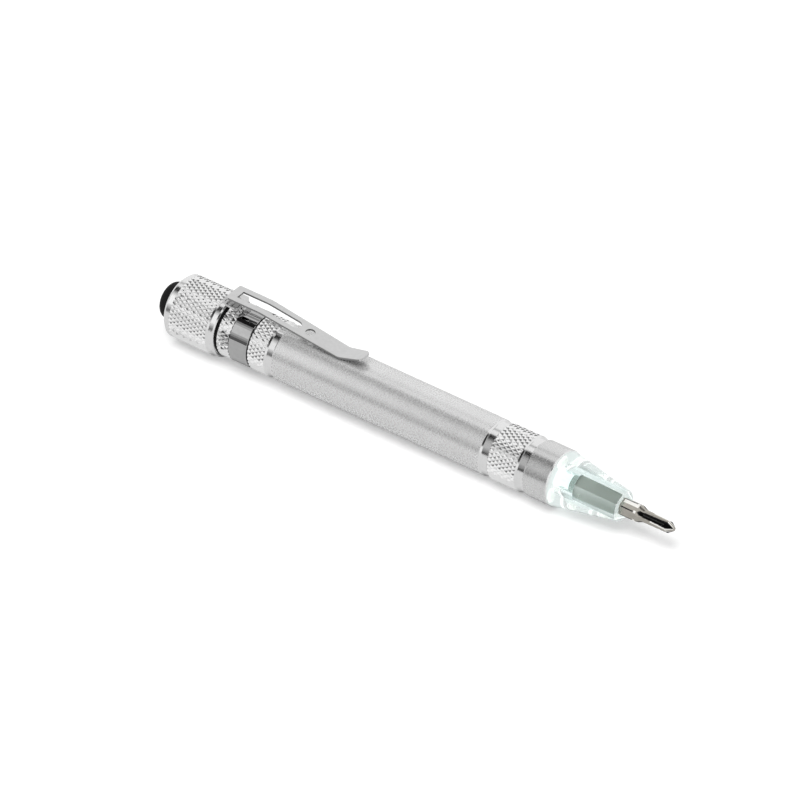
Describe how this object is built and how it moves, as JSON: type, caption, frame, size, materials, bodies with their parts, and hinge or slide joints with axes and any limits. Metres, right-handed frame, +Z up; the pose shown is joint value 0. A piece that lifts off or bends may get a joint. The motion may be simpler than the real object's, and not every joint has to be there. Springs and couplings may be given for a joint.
{
  "type": "penlight screwdriver pen",
  "caption": "Slim aluminium pocket penlight with a tail push switch, a sprung pocket clip and a clear lit nose that holds a small hex screwdriver bit.",
  "frame": {"origin": "middle of the pen's length, on the surface that it lies on, under its axis", "axes": "+X along the pen's axis towards the bit, +Z up through the pocket clip"},
  "size_m": [0.1466, 0.016, 0.0187],
  "materials": {
    "satin_aluminium": "fine sandblasted satin with polished turned grooves",
    "knurled_aluminium": "bright diamond knurl with polished bands",
    "chrome_clip": "bright plated spring sheet",
    "black_rubber": "matte moulded rubber",
    "clear_plastic": "clear moulded plastic with a pale aqua tint",
    "white_plastic": "white moulded plastic",
    "black_plastic": "black moulded plastic",
    "brass": "turned brass",
    "spring_steel": "bright drawn wire and turned steel",
    "cell_jacket": "plain printed jacket on steel",
    "board": "green lacquered circuit board",
    "led_lens": "cast epoxy lens",
    "nickel": "nickel plated magnet",
    "bit_steel": "bead blasted tool steel with a worn bright point"
  },
  "bodies": {
    "barrel": {"barrel": "satin_aluminium", "front_cell": "cell_jacket", "rear_cell": "cell_jacket", "cap_o_ring": "black_rubber", "head_ring": "satin_aluminium", "clear_nose": "clear_plastic", "led_carrier": "white_plastic", "led_board": "board", "leds": "led_lens", "led_leads": "spring_steel", "front_contact": "brass", "magnet_cup": "spring_steel", "bit_magnet": "nickel"},
    "tail_spring": {"battery_spring": "spring_steel"},
    "tail_cap": {"tail_cap": "knurled_aluminium", "switch_retainer": "brass", "switch_plate": "brass", "switch_housing": "black_plastic", "switch_spring": "spring_steel"},
    "button": {"push_button": "black_rubber", "switch_plunger": "white_plastic"},
    "clip": {"clip_band": "chrome_clip"},
    "clip_arm": {"clip_arm": "chrome_clip"},
    "bit": {"screwdriver_bit": "bit_steel"}
  },
  "joints": [
    {"name": "cap_travel", "type": "slide", "parent": "barrel", "child": "tail_spring", "axis": [-1, 0, 0], "range_m": [0, 0.0045]},
    {"name": "cap_turn", "type": "hinge", "parent": "tail_spring", "child": "tail_cap", "pos_m": [-0.06145, 0, 0.008], "axis": [-1, 0, 0], "range_deg": [0, 2160]},
    {"name": "button_press", "type": "slide", "parent": "tail_cap", "child": "button", "axis": [1, 0, 0], "range_m": [0, 0.001], "stiffness_N_per_m": 1500, "springref_m": -0.0005, "deforming": ["switch_spring"]},
    {"name": "clip_swivel", "type": "hinge", "parent": "barrel", "child": "clip", "pos_m": [-0.04725, 0, 0.008], "axis": [1, 0, 0], "continuous": true},
    {"name": "clip_flex", "type": "hinge", "parent": "clip", "child": "clip_arm", "pos_m": [-0.05295, 0, 0.0173], "axis": [0, -1, 0], "range_deg": [0, 5], "stiffness_Nm_per_rad": 2},
    {"name": "bit_pull", "type": "slide", "parent": "barrel", "child": "bit", "axis": [1, 0, 0], "range_m": [0, 0.014]}
  ],
  "couplings": [
    {"joint": "cap_travel", "follows": "cap_turn", "m_per_rad": 0.00011937}
  ]
}
